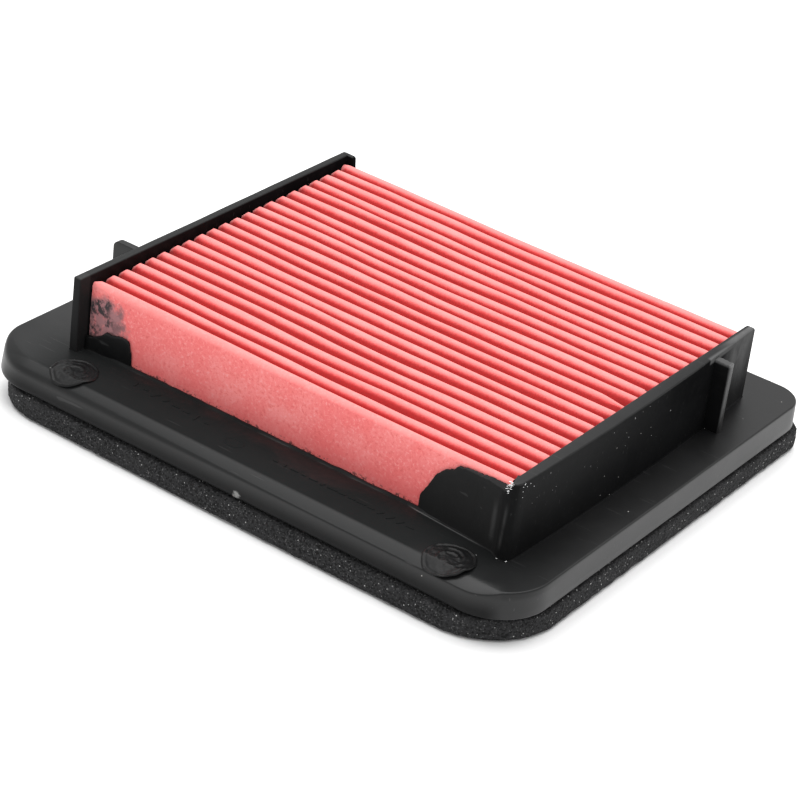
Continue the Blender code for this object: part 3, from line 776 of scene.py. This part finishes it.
def stainPanel(n, tone, coords, place):
    x, y, z = place
    front = n.remap(y, panelFront + 0.9, panelFront + 1.6, 1, 0)
    # grey resin that bled through at the left end of the front panel
    warp = n.scaled(n.noise(coords, 230, 3, 0.6), 12, -6)
    along = n.plus(x, warp)
    inside = n.times(front, n.fades((along, -65, -61, 1, 0), (n.scaled(warp, 0.8, z), 34.5, 38.5, 1, 0)))
    veil = n.remap(n.noise(coords, 260, 5, 0.7, 0.6), 0.30, 0.52, 0.35, 0.92)
    tone = n.blend(n.times(inside, veil), tone, (0.33, 0.17, 0.18))
    soot = n.noise(n.stretched(coords, (1.0, 1.0, 0.7), (0, 25, 0)), 330, 6, 0.72, 0.3)
    fine = n.scaled(n.noise(coords, 1100, 3, 0.6), 0.16, n.minus(soot, 0.08))
    grit = n.times(inside, n.fades((fine, 0.455, 0.59), (along, -71, -64, 1, 0.35)))
    tone = n.blend(grit, tone, (0.034, 0.027, 0.030))
    # brown and black crumbs along the foot of the panel
    crumbs = n.fades((z, 18.8, 20, 1, 0), (n.noise(coords, 800, 4, 0.6), 0.52, 0.60, 0, 0.8))
    return n.blend(n.times(front, crumbs), tone, (0.05, 0.022, 0.018))


def filterPaper():
    look = paperLook
    material, n, coords = newMaterial("redFilterPaper")
    place = n.inMm(coords)
    z = place[2]
    fibre = n.noise(n.stretched(coords, (0.8, 1.0, 0.8)), 1150, 5, 0.7, 0.5)
    blotch = n.noise(coords, 120, 4, 0.6)
    tone = n.blend(n.remap(blotch, 0.35, 0.68), look["red"], look["paleRed"])
    tone = n.blend(n.remap(n.noise(coords, 22), 0.40, 0.75, 0, 0.5), tone, look["deepRed"])
    tone = n.blend(n.remap(fibre, 0.52, 0.68, 0, 0.7), tone, (0.98, 0.42, 0.40))
    tone = n.blend(n.remap(fibre, 0.48, 0.32, 0, 0.7), tone, (0.76, 0.11, 0.10))
    # deeper red low on the panel, towards its foot
    tone = n.blend(n.remap(n.scaled(blotch, 6, z), 20, 33, 0.55, 0), tone, look["deepRed"])
    # painted light on the folds' crests, painted shade down their sides and deeper painted shade in the
    # valleys
    depth = n.times(n.put("ShaderNodeAttribute", attribute_name="foldDepth")["Fac"], 1 / mm)
    depth = n.scaled(fibre, 1.6, n.minus(depth, 0.8))
    tone = n.blend(n.remap(depth, 0.1, 1.2), tone, look["flankRed"])
    tone = n.blend(n.remap(depth, 2.4, 6.0), tone, look["valleyRed"])
    tone = n.blend(n.fades((z, 38.2, 39.5), (depth, 0.1, 0.6, 0.6, 0)), tone, look["tipRed"])
    tone = stainPanel(n, tone, coords, place)
    for spot in look["specks"]:  # burnt specks by the right wall
        away = n.scaled(blotch, 1.2, n.away(coords, spot))
        tone = n.blend(n.remap(away, 1.9, 2.4, 0.97, 0), tone, (0.02, 0.012, 0.012))
    relief = n.bump(n.noise(coords, 420, 3, 0.6), 0.18, 0.5, n.bump(fibre, 0.16, 0.8))
    n.surface(colour=tone, rough=0.86, gloss=0.25, relief=relief,
              **{"Sheen Weight": 0.12, "Sheen Roughness": 0.6})
    return material


def foldProfile():
    # one fold, from the middle of a valley to the middle of the next, drawn in XY
    half = paperLook["thickness"] / 2
    tip, valley = paperLook["tipRadius"] - half, paperLook["valleyRadius"] - half
    tall = paperHigh[2] - paperLow[2] - 2 * half
    middle = -paperLook["pitch"] / 2
    points = [(middle + valley * c, valley + valley * s) for s, c in turns(270, 300, 330, 360)]
    points += [(mix(middle + valley, -tip, t), mix(valley, tall - tip, t)) for t in (0.25, 0.5, 0.75)]
    side = points[::-1]
    points += [(tip * c, tall - tip + tip * s) for s, c in turns(*range(180, -1, -18))]
    points += [(-x, z) for x, z in side]
    mesh = bpy.data.meshes.new("foldProfile")
    mesh.from_pydata([metres((x, z, 0)) for x, z in points], [(k, k + 1) for k in range(len(points) - 1)], [])
    return mesh


def pleatTree():
    n, given = newTree("pleatFolding", {"Int": ("Folds", "Columns"), "Float": (
        "Pitch", "First Fold Y", "Foot Height", "Tip Height", "Left End", "Right End", "Front Panel",
        "Back Panel", "Wander", "Leaning", "Sag", "End Drop", "End Length", "End Narrow", "Seed")})

    def vector(x=0.0, y=0.0, z=0.0):
        return n.put("ShaderNodeCombineXYZ", {0: x, 1: y, 2: z})[0]

    # repeat the fold along X, where Curve to Mesh expects the profile's width
    row = n.shape("MeshLine", Count=given["Folds"], Offset=vector(given["Pitch"]))
    folds = n.shape("InstanceOnPoints", Points=row, Instance=given["Geometry"])
    folds = n.shape("RealizeInstances", Geometry=folds)
    folds = n.shape("MergeByDistance", Geometry=folds, Distance=0.00001)
    folds = n.shape("MeshToCurve", Mesh=folds)
    rail = n.shape("CurvePrimitiveLine", Start=vector(given["Left End"]), End=vector(given["Right End"]))
    rail = n.shape("ResampleCurve", Curve=rail, Count=given["Columns"])
    sheet = n.shape("CurveToMesh", Curve=rail, ProfileCurve=folds)

    # where each point of the sheet belongs
    x, width, height = n.split(n.shape("InputPosition"))
    y = n.minus(given["First Fold Y"], width)
    y = n.calc("MINIMUM", n.calc("MAXIMUM", y, given["Front Panel"]), given["Back Panel"])
    rise = n.times(height, -1.0)
    tall = n.minus(given["Tip Height"], given["Foot Height"])
    lift = n.calc("DIVIDE", rise, tall)
    left, right = n.minus(x, given["Left End"]), n.minus(given["Right End"], x)
    nearest = n.calc("MINIMUM", left, right)
    outer = n.calc("MINIMUM", n.minus(y, given["Front Panel"]), n.minus(given["Back Panel"], y))
    inside = n.remap(outer, 0.0, 0.006, 0.35, 1.0)

    def stray(sx, sy, shift):
        place = vector(n.times(x, sx), n.times(y, sy), n.plus(given["Seed"], shift))
        return n.scaled(n.noise(place, 1.0, 2.0), 2.0, -1.0)

    # folds wander most at their tips; both end walls and the outer panels hold them
    held = n.remap(nearest, 0.0, 0.030, 0.45, 1.0)
    sideways = n.plus(n.times(stray(16, 105, 0.0), given["Wander"], held),
                      n.times(stray(3, 100, 5.0), given["Leaning"]))
    sideways = n.times(sideways, n.calc("POWER", n.calc("MAXIMUM", lift, 0.0), 1.4), inside)
    # fold ends close in towards their own middle, like fingertips
    turn = n.calc("DIVIDE", n.minus(y, given["First Fold Y"]), given["Pitch"])
    middle = n.scaled(n.calc("ROUND", turn), given["Pitch"], given["First Fold Y"])
    closing = n.times(n.fades((nearest, 0.0, 0.0032, 1, 0), (lift, 0.72, 0.92)), inside, given["End Narrow"])
    sideways = n.plus(sideways, n.times(n.minus(middle, y), closing))
    # the pack sags towards the right, and its ends round off
    sink = n.plus(n.times(n.remap(left, 0.0, 0.085), given["Sag"]), n.times(stray(12, 70, 9.0), 0.00022))
    ends = n.remap(nearest, 0.0, given["End Length"], 1.0, 0.0, "LINEAR")
    ends = n.minus(1.0, n.calc("SQRT", n.minus(1.0, n.times(ends, ends))))
    ends = n.times(ends, n.remap(outer, 0.0005, 0.0030, 0.2, 1.0), given["End Drop"])
    sink = n.times(n.plus(sink, ends), n.remap(lift, 0.45, 0.95))
    place = vector(x, n.plus(y, sideways), n.minus(n.plus(rise, given["Foot Height"]), sink))
    # how deep inside the pack each point lies, for the material
    depth = n.times(n.minus(tall, rise), n.remap(outer, 0.0002, 0.0012))
    sheet = n.put("GeometryNodeStoreNamedAttribute", {"Geometry": sheet, "Name": "foldDepth", "Value": depth},
                  data_type="FLOAT", domain="POINT")[0]
    sheet = n.shape("SetPosition", Geometry=sheet, Position=place)
    return closeTree(n, sheet, given["Material"], False)


pinch = {"y": 2.0, "halfPitch": 2.6, "from": 70.5, "to": 81.5, "narrow": 0.62, "shift": -1.1, "drop": 0.9}


def pinchFold(piece):
    # one fold is squeezed thin where it meets the right wall
    for vertex in piece.data.vertices:
        x, y, z = (value / mm for value in vertex.co)
        side = y - pinch["y"]
        if abs(side) < pinch["halfPitch"] and x > pinch["from"] and z > 28:
            t = smoothStep(x, pinch["from"], pinch["to"]) * smoothStep(z, 28, 39)
            vertex.co.y += mm * t * (pinch["shift"] - side * pinch["narrow"])
            vertex.co.z -= mm * t * pinch["drop"]


def buildPaper():
    look = paperLook
    half = look["thickness"] / 2
    sizes = {"Pitch": look["pitch"], "First Fold Y": panelFront + look["tipRadius"],
             "Foot Height": paperLow[2] + half, "Tip Height": paperHigh[2] - half,
             "Left End": paperLow[0], "Right End": paperHigh[0],
             "Front Panel": panelFront + half, "Back Panel": panelBack - half, "Wander": look["wander"],
             "Leaning": look["leaning"], "Sag": look["sag"], "End Drop": look["endDrop"],
             "End Length": look["endLength"]}
    values = {name: value * mm for name, value in sizes.items()}
    values.update({"Folds": look["folds"], "Columns": look["columns"], "End Narrow": look["endNarrow"],
                   "Seed": look["seed"], "Material": filterPaper()})
    piece = growPiece("pleatedPaper", foldProfile(), pleatTree(), values)
    pinchFold(piece)
    shell = piece.modifiers.new("paperThickness", "SOLIDIFY")
    shell.thickness = look["thickness"] * mm
    shell.offset = 0
    shell.use_even_offset = False
    bake(piece)
    piece.data.shade_smooth()
    piece.data.set_sharp_from_angle(angle=math.radians(60))
    return piece


pleatedPaper = buildPaper()
print("pleated paper:", len(pleatedPaper.data.polygons), "faces")


# foam gasket

foam = {
    "frontRadius": 24.0, "backRadius": 6.0, "sideSteps": 90, "cornerSteps": 26, "innerEdge": 13.0,
    "frontProud": 0.35, "belly": 0.7, "leftInset": 0.5, "rough": 0.22, "pores": 0.16, "grit": 0.10,
    "round": 1.5, "shelf": 7.5, "shelfRound": 0.9,
}


def blackFoam():
    material, n, coords = newMaterial("blackFoam")
    drift = n.put("ShaderNodeTexNoise", {"Vector": coords, "Scale": 600.0})["Color"]
    cells = n.cells(n.vectorMath("MULTIPLY_ADD", drift, (0.0012,) * 3, coords)[0], 1150.0)[0]
    coarse = n.noise(coords, 900, 5, 0.75)
    distance, chance = n.cells(coords, 1300.0)
    glint = n.fades((distance, 0.12, 0.34, 1, 0), (chance, 0.925, 0.985))
    tone = n.blend(n.remap(cells, 0.25, 0.65), (0.004, 0.004, 0.0042), (0.022, 0.022, 0.023))
    tone = n.blend(n.remap(coarse, 0.52, 0.70, 0, 0.8), tone, (0.040, 0.040, 0.042))
    tone = n.blend(n.remap(n.noise(coords, 90, 3, 0.6), 0.45, 0.70, 0, 0.35), tone, (0.030, 0.030, 0.031))
    # painted glints: bright and mid-grey specks in the base colour stand in for sparkle off the foam's cells
    tone = n.blend(n.remap(n.noise(coords, 1900, 2), 0.60, 0.70, 0, 0.62), tone, 0.13)
    tone = n.blend(glint, tone, (0.55, 0.55, 0.54))
    n.surface(colour=tone, rough=0.85, gloss=0.2, relief=n.bump(coarse, 0.5, 0.8, n.bump(cells, 0.30, 0.7)))
    return material


def foamLoop(inset):
    # loop inset from the skirt's outline; negative values stand proud of it
    return roundedLoop([v + inset for v in flangeLow], [v - inset for v in flangeHigh],
                       max(foam["frontRadius"] - inset, 3.0), max(foam["backRadius"] - inset, 3.0),
                       foam["sideSteps"], foam["cornerSteps"])


def foamProfile():
    # round the gasket's section, as (inset, height)
    top = boxMm("gasket_adhesive")[0][2] - 0.3
    inner, r, shelf, soft = (foam[key] for key in ("innerEdge", "round", "shelf", "shelfRound"))
    profile = [(inner, top), (inner, mix(1, top, 0.66)), (inner, mix(1, top, 0.33)), (inner, r * 0.5),
               (inner - r * 0.5, 0.0)]
    profile += [(mix(inner - r, 0.3, t), 0.0) for t in (0.15, 0.4, 0.65, 0.85)]
    profile += [(-1.0 + r * (1 - s), r * (1 - c)) for s, c in turns(0, 25, 50, 75)]
    profile += [(-1.0, mix(r, shelf - soft, t)) for t in (0.0, 0.15, 0.3, 0.45, 0.6, 0.75, 0.9, 1.0)]
    profile += [(-1.0 + soft * (1 - c), shelf - soft + soft * s) for s, c in turns(25, 50, 75, 90)]
    profile += [(0.6, shelf + 0.25), (1.4, shelf + 0.6), (2.3, shelf + 0.85), (3.05, shelf + 0.9)]
    return profile + [(3.05, mix(shelf, top, 0.5)), (3.05, top - 0.4), (3.5, top), (8.0, top)]


def foamPoint(x, y, z, nx, ny, depth):
    # a point of the section, pushed outwards by pores and bulges
    push = (foam["rough"] * wave(x, y, z, 0.35, 2.0) + foam["pores"] * wave(x, y, z, 1.4, 6.0)
            + foam["grit"] * wave(x, y, z, 3.3, 9.0))
    if depth < 1.0:
        push += 0.18 * math.sin(math.pi * min(max(z / foam["shelf"], 0), 1)) - 0.45
        belly = foam["belly"] * max(1 - ((x - 12) / 80) ** 2, 0.0)
        push += (foam["frontProud"] + belly) * smoothStep(-ny, 0.4, 1.0)
        push -= foam["leftInset"] * smoothStep(-nx, 0.4, 1.0)
    else:
        push *= 0.35
    if foam["shelf"] - 1 < z < foam["shelf"] + 0.5 and depth < 2:
        z += 0.30 * wave(x, y, z, 0.8, 12.0) + 0.16 * wave(x, y, z, 2.6, 15.0)
    return x + nx * push, y + ny * push, z


def buildFoam():
    rings = []
    for depth, z in foamProfile():
        rings.append([foamPoint(x, y, z, nx, ny, depth) for (x, y), (nx, ny) in zip(*foamLoop(depth))])
    return meshPiece("foamGasket", *loft(rings), blackFoam(), 75)


foamGasket = buildFoam()
print("foam gasket:", len(foamGasket.data.polygons), "faces")


# adhesive film above the foam, and the hot-melt threads under the pleats

def cloudyMaterial(name, grain, colours, rough, depth, strength, **extra):
    # an even material with cloudy colour, roughness and relief
    material, n, coords = newMaterial(name)
    cloud = n.noise(coords, *grain)
    n.surface(colour=n.blend(n.remap(cloud, 0.3, 0.7), *colours), rough=n.remap(cloud, 0.3, 0.7, *rough),
              relief=n.bump(cloud, depth, strength), **extra)
    return material


film = {"width": 8.2, "bevel": 0.1, "waver": 0.15}


def buildFilm():
    low, high = boxMm("gasket_adhesive")
    near, bevel = flangeHigh[0] - high[0], film["bevel"]
    far = near + film["width"]
    rings = []
    for depth, z in ((near, low[2] + bevel), (near + bevel, high[2]), (far, high[2]),
                     (far + bevel, low[2] + bevel), (far, low[2]), (near + bevel, low[2])):
        loop = []
        for (x, y), (nx, ny) in zip(*foamLoop(depth)):
            push = film["waver"] * wave(x, y, 0, 0.2, 5)
            loop.append((x - nx * push, y - ny * push, z))
        rings.append(loop)
    material = cloudyMaterial("adhesiveFilm", (90, 4, 0.6, 0.8), ((0.50, 0.45, 0.34), (0.62, 0.58, 0.48)),
                              (0.35, 0.6), 0.1, 0.5)
    return meshPiece("gasketFilm", *loft(rings), material, 60)


gasketFilm = buildFilm()


def threadTree():
    # a glue thread that swells where it touches each fold
    n, given = newTree("glueThread", {"Vector": ("Start", "End"), "Int": ("Steps",),
                                      "Float": ("Radius", "Flatness", "Pitch", "Swelling", "Seed")})
    line = n.shape("CurvePrimitiveLine", Start=given["Start"], End=given["End"])
    line = n.shape("ResampleCurve", Curve=line, Count=given["Steps"])
    circle = n.shape("CurvePrimitiveCircle", Resolution=14, Radius=1.0)
    here = n.shape("InputPosition")
    beat = n.calc("COSINE", n.times(n.calc("DIVIDE", n.split(here)[1], given["Pitch"]), math.tau))
    uneven = n.put("ShaderNodeTexNoise", {"Vector": here, "W": given["Seed"], "Scale": 160.0},
                   noise_dimensions="4D")["Fac"]
    size = n.scaled(n.scaled(beat, 0.5, uneven), given["Swelling"], 0.7)
    along = n.calc("ABSOLUTE", n.scaled(n.shape("SplineParameter"), 2.0, -1.0))
    ends = n.calc("MAXIMUM", n.minus(1.0, n.calc("POWER", along, 60.0)), 0.05)
    tube = n.shape("CurveToMesh", Curve=line, ProfileCurve=circle, FillCaps=True,
                   Scale=n.times(given["Radius"], size, ends))
    # flattened about its own height
    squash = n.put("ShaderNodeCombineXYZ", {0: 1.0, 1: 1.0, 2: given["Flatness"]})[0]
    middle = n.vectorMath("MULTIPLY", given["Start"], (0.0, 0.0, 1.0))[0]
    place = n.vectorMath("SUBTRACT", n.shape("InputPosition"), middle)[0]
    place = n.vectorMath("MULTIPLY_ADD", place, squash, middle)[0]
    tube = n.shape("SetPosition", Geometry=tube, Position=place)
    return closeTree(n, tube, given["Material"])


threads = {"steps": 260, "radius": 1.25, "flatness": 0.42, "swelling": 0.28}


def buildThreads():
    n = threadTree()
    glue = cloudyMaterial("hotMelt", (300, 3, 0.6), ((0.72, 0.62, 0.40), (0.86, 0.78, 0.58)), (0.25, 0.5),
                          0.1, 0.4, **{"Subsurface Weight": 0.15, "Subsurface Scale": 0.001})
    pieces = []
    for index in (1, 2, 3):
        node, name = f"spacer_bead_{index}", f"glueThread{index}"
        low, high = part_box(node)
        x, z = (low[0] + high[0]) / 2, (low[2] + high[2]) / 2
        piece = growPiece(name, bpy.data.meshes.new(name), n, {
            "Start": (x, low[1], z), "End": (x, high[1], z), "Steps": threads["steps"],
            "Radius": threads["radius"] * mm, "Flatness": threads["flatness"],
            "Pitch": paperLook["pitch"] * mm, "Swelling": threads["swelling"], "Seed": 3.0 * index,
            "Material": glue})
        pieces.append((piece, [node], "hot_melt"))
    return pieces


glueThreads = buildThreads()
print("film and glue threads")


# raised marks on the front of the flange: an oval ring and plain dashes, no lettering

marks = {
    "rows": (((-53.0, -68.6), (-19.0, -71.0), 8), ((5.0, -72.4), (58.0, -72.6), 15)),  # from, to, how many
    "length": 3.0, "width": 0.55, "height": 0.30, "seed": 12,
    "ring": (-8.5, -73.4, 3.2, 2.1, 0.34),  # centre, two radii, half width
}


def raisedBar(cx, cy, length, width, turn):
    outline = []
    for end, start in ((1, -90), (-1, 90)):
        outline += [(end * (length / 2 - width / 2) + width / 2 * c, width / 2 * s)
                    for s, c in turns(*(start + 45 * k for k in range(5)))]
    s, c = math.sin(turn), math.cos(turn)
    rings = []
    for grow, rise in ((1.25, -0.08), (1.15, 0.35), (0.9, 0.85), (0.55, 1.0)):
        grown = [(x * (1 + (grow - 1) * width / length), y * grow) for x, y in outline]
        z = plateTop + marks["height"] * rise
        rings.append([(cx + x * c - y * s, cy + x * s + y * c, z) for x, y in grown])
    return loft(rings, False, True)


def buildMarks():
    pick = random.Random(marks["seed"])
    skins = []
    for start, end, count in marks["rows"]:
        for k in range(count):
            x, y = (mix(a, b, (k + 0.5) / count) for a, b in zip(start, end))
            length = marks["length"] * pick.uniform(0.5, 1.15)
            turn = pick.choice((0.0, 0.0, math.pi / 2, 0.9)) + math.pi * 0.02
            skins.append(raisedBar(x, y, length, marks["width"], turn))
    cx, cy, a, b, w = marks["ring"]
    rings = []
    for away, z in ((-1.3, -0.05), (-0.8, 0.6), (0.0, 1.0), (0.8, 0.6), (1.3, -0.05)):
        rings.append([(cx + (a + away * w) * math.cos(t), cy + (b + away * w) * math.sin(t),
                       plateTop + marks["height"] * z) for t in (math.tau * k / 48 for k in range(48))])
    return meshPiece("raisedMarks", *joined(*skins, loft(rings)), flangePlastic, 50, False)


raisedMarks = buildMarks()
print("raised marks")


# lint on the right wall, scattered by Geometry Nodes

lint = {"density": 17000.0, "seed": 9, "spinSeed": 77, "size": 0.26, "smallest": (0.30, 0.30, 0.25),
        "largest": (0.96, 1.6, 0.5)}


def lintTree():
    n, given = newTree("lintScatter", {"Float": ("Density", "Size"), "Int": ("Seed",),
                                       "Vector": ("Smallest", "Largest")})

    def pick(low, high, seed):
        return n.put("FunctionNodeRandomValue", {0: low, 1: high, "Seed": seed}, data_type="FLOAT_VECTOR")[0]

    points = n.put("GeometryNodeDistributePointsOnFaces", {
        "Mesh": given["Geometry"], "Density": given["Density"], "Seed": given["Seed"]})
    crumb = n.shape("MeshIcoSphere", Radius=given["Size"], Subdivisions=1)
    spin = pick((0.0, 0.0, 0.0), (0.0, 0.0, math.tau), lint["spinSeed"])
    turned = n.put("FunctionNodeRotateRotation", {0: points["Rotation"], 1: spin}, rotation_space="LOCAL")[0]
    copies = n.shape("InstanceOnPoints", Points=points[0], Instance=crumb, Rotation=turned,
                     Scale=pick(given["Smallest"], given["Largest"], given["Seed"]))
    return closeTree(n, copies, given["Material"])


def lintMaterial():
    material, n, coords = newMaterial("paleLint")
    cloud = n.noise(coords, 900, 2)
    n.surface(colour=n.blend(cloud, (0.17, 0.17, 0.175), (0.38, 0.38, 0.375)),
              rough=n.remap(cloud, 0.3, 0.7, 0.6, 0.9), relief=n.bump(cloud, 0.05, 0.4))
    return material


def wallFaceX(y):
    return rightInner + rightThickness(y)


def buildLint():
    # it gathers on the outer side of the right wall
    steps = 24
    points = []
    for k in range(steps + 1):
        y = mix(rightLow[1] + 3, 20, k / steps)
        points += [metres((wallFaceX(y) + 0.04, y, z)) for z in (plateTop + 3, wallTop - 1.5)]
    mesh = bpy.data.meshes.new("lint")
    mesh.from_pydata(points, [], [(2 * k, 2 * k + 2, 2 * k + 3, 2 * k + 1) for k in range(steps)])
    return growPiece("lint", mesh, lintTree(), {
        "Density": lint["density"], "Seed": lint["seed"], "Size": lint["size"] * mm,
        "Smallest": lint["smallest"], "Largest": lint["largest"], "Material": lintMaterial()})


# stress-whitened chips where the wall's corner tore, on the wall's side (y, z, size) and crumbs at its foot
chips = {
    "seed": 5, "count": 24, "corner": (83.8, -67.0, 43.1), "spread": (1.0, 0.8, 1.3), "width": 0.42,
    "thickness": 0.14,
    "side": ((-64.6, 42.2, 0.6), (-63.8, 42.8, 0.8), (-62.6, 41.6, 0.45), (-61.0, 42.0, 0.5),
             (-64.4, 40.6, 0.5), (-59.0, 40.2, 0.4), (-64.2, 38.6, 0.35)),
    "foot": ((83.2, -67.8, 18.2, 0.7), (86.0, -67.1, 18.2, 1.0), (78.0, -70.4, 18.1, 0.35)),
}


def chipSpots(pick):
    # (x, y, z, size) for each chip that lies flat
    cx, cy, cz = chips["corner"]
    spreadX, spreadY, spreadZ = chips["spread"]
    for k in range(chips["count"]):
        x = cx + pick.uniform(-1, 1) * spreadX
        y = cy + pick.uniform(-0.8, 0.6) * spreadY
        z = wallTop - 0.2
        if x >= rightInner + 2.6 or y <= rightLow[1] + 0.4:  # on the torn front of the corner
            z = cz - abs(pick.gauss(0, 1)) * spreadZ
            x, y = min(x, 84.2), rightLow[1] + 0.05
        yield x, y, min(z, wallTop - 0.1), pick.uniform(0.5, 1.5)
    yield from chips["foot"]


def rotation(angle, axis):
    return Matrix.Rotation(angle, 4, axis)


def addChips(piece):
    pick = random.Random(chips["seed"])
    work = bmesh.new()
    work.from_mesh(piece.data)
    flat = [(spot, False) for spot in chipSpots(pick)]
    upright = [((wallFaceX(y) + 0.06, y, z, size), True) for y, z, size in chips["side"]]
    for (x, y, z, size), stands in flat + upright:
        turn = rotation(pick.uniform(0, math.pi), "Z") @ rotation(pick.uniform(-0.5, 0.5), "X")
        if stands:
            turn = rotation(math.pi / 2, "Y") @ rotation(pick.uniform(0, math.pi), "Z")
        shape = Matrix.Diagonal((*metres((size, size * chips["width"], chips["thickness"])), 1))
        bmesh.ops.create_icosphere(work, subdivisions=1, radius=0.5,
                                   matrix=Matrix.Translation(metres((x, y, z))) @ turn @ shape)
    work.to_mesh(piece.data)
    work.free()
    piece.data.shade_smooth()


lintPiece = buildLint()
addChips(lintPiece)
print("lint:", len(lintPiece.data.polygons), "faces")


# who stands for what

plasticPieces = {
    flangeShell: ["flange_frame"], wallRight: ["end_wall_right", "flash_front_right"],
    wallLeft: ["end_wall_left", "flash_back_left"], flashFrontLeft: ["flash_front_left"],
    flashBackRight: ["flash_back_right"], gussetLeft: ["gusset_left"], gussetRight: ["gusset_right"],
    padLeft: ["gate_pad_left"], padRight: ["gate_pad_right"], raisedMarks: [], lintPiece: [],
}
for piece, nodes, slotName in (
        *((piece, nodes, "frame_plastic") for piece, nodes in plasticPieces.items()),
        (pleatedPaper, ["pleated_paper"], "filter_paper"),
        (foamGasket, ["foam_gasket"], "gasket_foam"),
        (gasketFilm, ["gasket_adhesive"], "adhesive_film"),
        *glueThreads):
    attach(piece, "root")
    if nodes:
        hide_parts(*nodes)


# floor, light and camera

studio = {
    "floorColour": (0.93, 0.93, 0.93), "floorReach": 6000.0, "floorDrop": 0.2, "worldLight": 0.80,
    "panelSize": 1.6, "panelPlace": (-0.15, 0.25, 1.3), "panelPower": 24.0,
    "lens": 122.24, "place": (0.40344, -0.63184, 0.43634),
    "azimuth": 32.493, "elevation": 29.793, "roll": 7.421,
}


def buildStudio():
    reach = studio["floorReach"]
    mesh = bpy.data.meshes.new("floor")
    mesh.from_pydata([metres((x, y, 0)) for x, y in ((-reach, -reach), (reach, -reach), (reach, reach),
                                                     (-reach, reach))], [], [(0, 1, 2, 3)])
    material, n, coords = newMaterial("paleFloor")
    patchy = tuple(v * 0.99 for v in studio["floorColour"])
    n.surface(colour=n.blend(n.noise(coords, 6), studio["floorColour"], patchy), rough=0.9, gloss=0.1)
    mesh.materials.append(material)
    floor = addObject("floor", mesh)
    floor.location.z = -studio["floorDrop"] * mm
    floor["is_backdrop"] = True
    world = bpy.data.worlds.new("paleStudio")
    world.use_nodes = True
    background = world.node_tree.nodes["Background"].inputs
    background["Color"].default_value = (1, 1, 1, 1)
    background["Strength"].default_value = studio["worldLight"]
    scene.world = world
    light = bpy.data.lights.new("overheadPanel", "AREA")
    light.shape = "SQUARE"
    light.size = studio["panelSize"]
    light.energy = studio["panelPower"]
    addObject("overheadPanel", light).location = studio["panelPlace"]


def buildCamera():
    azimuth, elevation, roll = (math.radians(studio[key]) for key in ("azimuth", "elevation", "roll"))
    back = Vector((math.sin(azimuth) * math.cos(elevation), -math.cos(azimuth) * math.cos(elevation),
                   math.sin(elevation)))
    right = Vector((math.cos(azimuth), math.sin(azimuth), 0))
    up = back.cross(right)
    xAxis = math.cos(roll) * right + math.sin(roll) * up
    yAxis = math.cos(roll) * up - math.sin(roll) * right
    lens = bpy.data.cameras.new("camera")
    lens.lens = studio["lens"]
    lens.sensor_width = 36
    lens.clip_start, lens.clip_end = 0.01, 50
    camera = addObject("camera", lens)
    turn = Matrix((xAxis, yAxis, back)).transposed()
    camera.matrix_world = Matrix.Translation(studio["place"]) @ turn.to_4x4()
    scene.camera = camera


buildStudio()
buildCamera()
scene.view_settings.view_transform = "Standard"
print("studio and camera")

visualBounds = [list(corner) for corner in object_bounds()]
({"cad": [[float(v) for v in corner] for corner in cadBounds],
           "visual": [[float(v) for v in corner] for corner in visualBounds]})
